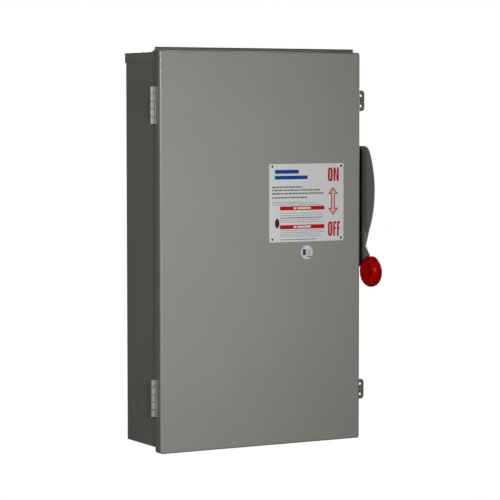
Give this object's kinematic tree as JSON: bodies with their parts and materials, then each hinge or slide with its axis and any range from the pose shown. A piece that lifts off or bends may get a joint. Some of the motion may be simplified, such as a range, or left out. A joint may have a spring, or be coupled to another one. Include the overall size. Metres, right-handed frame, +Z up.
{
  "type": "ac disconnect box",
  "caption": "Wall-mounted steel disconnect switch with a rain hood, a hinged door held by side latches, and an external side handle that works fused knife blades inside.",
  "frame": {"origin": "centre of the enclosure's flat back face, where it meets the wall", "axes": "+Z up; the door faces -Y; +X to the handle side, seen from the front on the right"},
  "size_m": [0.4594, 0.1752, 0.7265],
  "materials": {
    "grey_paint": "semi-gloss powder coat with a faint orange peel",
    "dark_steel": "satin dark plating",
    "zinc": "bright zinc plate",
    "steel": "turned steel",
    "copper": "bare copper",
    "tinned": "tin plate",
    "black_plastic": "moulded satin",
    "red_plastic": "glossy moulded",
    "base_plastic": "moulded thermoset",
    "fuse_paper": "varnished fibre tube",
    "clear_sheet": "clear polycarbonate",
    "white_plate": "satin printed plate"
  },
  "bodies": {
    "enclosure": {"enclosure_wrap": "grey_paint", "bottom_endwall": "grey_paint", "top_endwall": "grey_paint", "rain_hood": "grey_paint", "handle_guard": "grey_paint", "upper_hinge_body_leaf": "grey_paint", "lower_hinge_body_leaf": "grey_paint", "upper_hinge_pin": "grey_paint", "lower_hinge_pin": "grey_paint", "upper_latch_rivet_lower": "zinc", "upper_latch_rivet_upper": "zinc", "lower_latch_rivet_lower": "zinc", "lower_latch_rivet_upper": "zinc", "mounting_pan": "zinc", "mechanism_frame": "zinc", "loading_spring": "steel", "line_jaw_1": "copper", "line_jaw_2": "copper", "load_jaw_1": "copper", "load_jaw_2": "copper", "upper_fuse_clip_1": "copper", "upper_fuse_clip_2": "copper", "lower_fuse_clip_1": "copper", "lower_fuse_clip_2": "copper", "line_lug_1": "tinned", "line_lug_2": "tinned", "load_lug_1": "tinned", "load_lug_2": "tinned", "neutral_bar": "tinned", "ground_bar": "tinned", "handle_housing": "black_plastic", "shaft_bushing": "black_plastic", "switch_base": "base_plastic", "fuse_base": "base_plastic", "neutral_base": "base_plastic", "rotor_bearing_left": "base_plastic", "rotor_bearing_right": "base_plastic", "arc_chute_1": "base_plastic", "arc_chute_2": "base_plastic", "fuse_1": "fuse_paper", "fuse_2": "fuse_paper", "line_shield": "clear_sheet"},
    "door": {"door_panel": "grey_paint", "nameplate": "white_plate", "round_sticker": "white_plate", "upper_hinge_door_leaf": "grey_paint", "lower_hinge_door_leaf": "grey_paint", "door_interlock_bracket": "zinc"},
    "handle": {"handle_arm": "grey_paint", "knob": "red_plastic", "handle_shaft": "steel", "shaft_nut": "zinc", "drive_crank": "steel"},
    "switch_rotor": {"rotor": "black_plastic", "blade_1": "copper", "blade_2": "copper"},
    "upper_slide": {"upper_latch": "dark_steel"},
    "lower_slide": {"lower_latch": "dark_steel"}
  },
  "joints": [
    {"name": "door_hinge", "type": "hinge", "parent": "enclosure", "child": "door", "pos_m": [-0.212, -0.1225, 0], "axis": [0, 0, -1], "range_deg": [0, 165]},
    {"name": "handle_pivot", "type": "hinge", "parent": "enclosure", "child": "handle", "pos_m": [0.2, -0.058, 0.0875], "axis": [-1, 0, 0], "range_deg": [0, 110]},
    {"name": "rotor_turn", "type": "hinge", "parent": "enclosure", "child": "switch_rotor", "pos_m": [0.02, -0.058, 0.0875], "axis": [-1, 0, 0], "range_deg": [0, 55]},
    {"name": "upper_latch_slide", "type": "slide", "parent": "enclosure", "child": "upper_slide", "axis": [0, 0, 1], "range_m": [-0.01, 0]},
    {"name": "lower_latch_slide", "type": "slide", "parent": "enclosure", "child": "lower_slide", "axis": [0, 0, 1], "range_m": [-0.01, 0]}
  ],
  "couplings": [
    {"joint": "rotor_turn", "follows": "handle_pivot", "ratio": 0.5}
  ]
}
